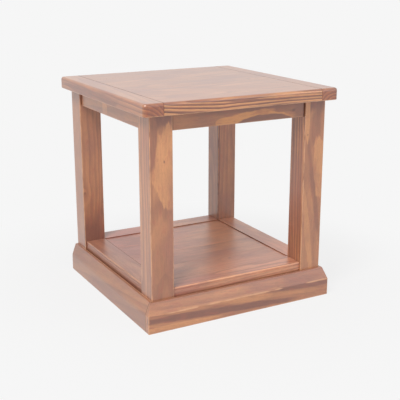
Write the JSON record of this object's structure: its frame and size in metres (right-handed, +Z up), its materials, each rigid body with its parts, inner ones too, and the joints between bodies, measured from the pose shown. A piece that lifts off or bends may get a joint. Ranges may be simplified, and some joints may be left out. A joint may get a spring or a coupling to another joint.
{
  "type": "end table",
  "caption": "Square solid-wood end table: thick plank top with breadboard ends, square legs, a low framed shelf and a bevelled skirting plinth.",
  "frame": {"origin": "on the floor, below the centre of the top", "axes": "+Z up, +X to the right, -Y to the front; the planks of the top run along X"},
  "size_m": [0.6, 0.6, 0.62],
  "materials": {
    "top_wood": "stained softwood, satin lacquer",
    "leg_wood": "stained softwood, satin lacquer",
    "frame_wood": "stained softwood, satin lacquer",
    "shelf_wood": "stained softwood, satin lacquer",
    "plinth_wood": "stained softwood, satin lacquer",
    "hidden_wood": "bare softwood, planed",
    "dowel_wood": "bare beech, smooth",
    "screw_steel": "yellow zinc plated"
  },
  "bodies": {
    "root": {"top_plank_1": "top_wood", "top_plank_2": "top_wood", "top_plank_3": "top_wood", "top_plank_4": "top_wood", "top_plank_5": "top_wood", "breadboard_end_left": "top_wood", "breadboard_end_right": "top_wood", "breadboard_pins": "dowel_wood", "leg_front_left": "leg_wood", "leg_front_right": "leg_wood", "leg_back_right": "leg_wood", "leg_back_left": "leg_wood", "apron_front": "frame_wood", "apron_right": "frame_wood", "apron_back": "frame_wood", "apron_left": "frame_wood", "top_buttons": "hidden_wood", "button_screws": "screw_steel", "shelf_rail_front": "shelf_wood", "shelf_rail_right": "shelf_wood", "shelf_rail_back": "shelf_wood", "shelf_rail_left": "shelf_wood", "rail_dowels": "dowel_wood", "shelf_plank_1": "shelf_wood", "shelf_plank_2": "shelf_wood", "shelf_plank_3": "shelf_wood", "shelf_plank_4": "shelf_wood", "plinth_front": "plinth_wood", "plinth_right": "plinth_wood", "plinth_back": "plinth_wood", "plinth_left": "plinth_wood", "cleat_front": "hidden_wood", "cleat_right": "hidden_wood", "cleat_back": "hidden_wood", "cleat_left": "hidden_wood", "cleat_screws": "screw_steel"}
  },
  "joints": []
}
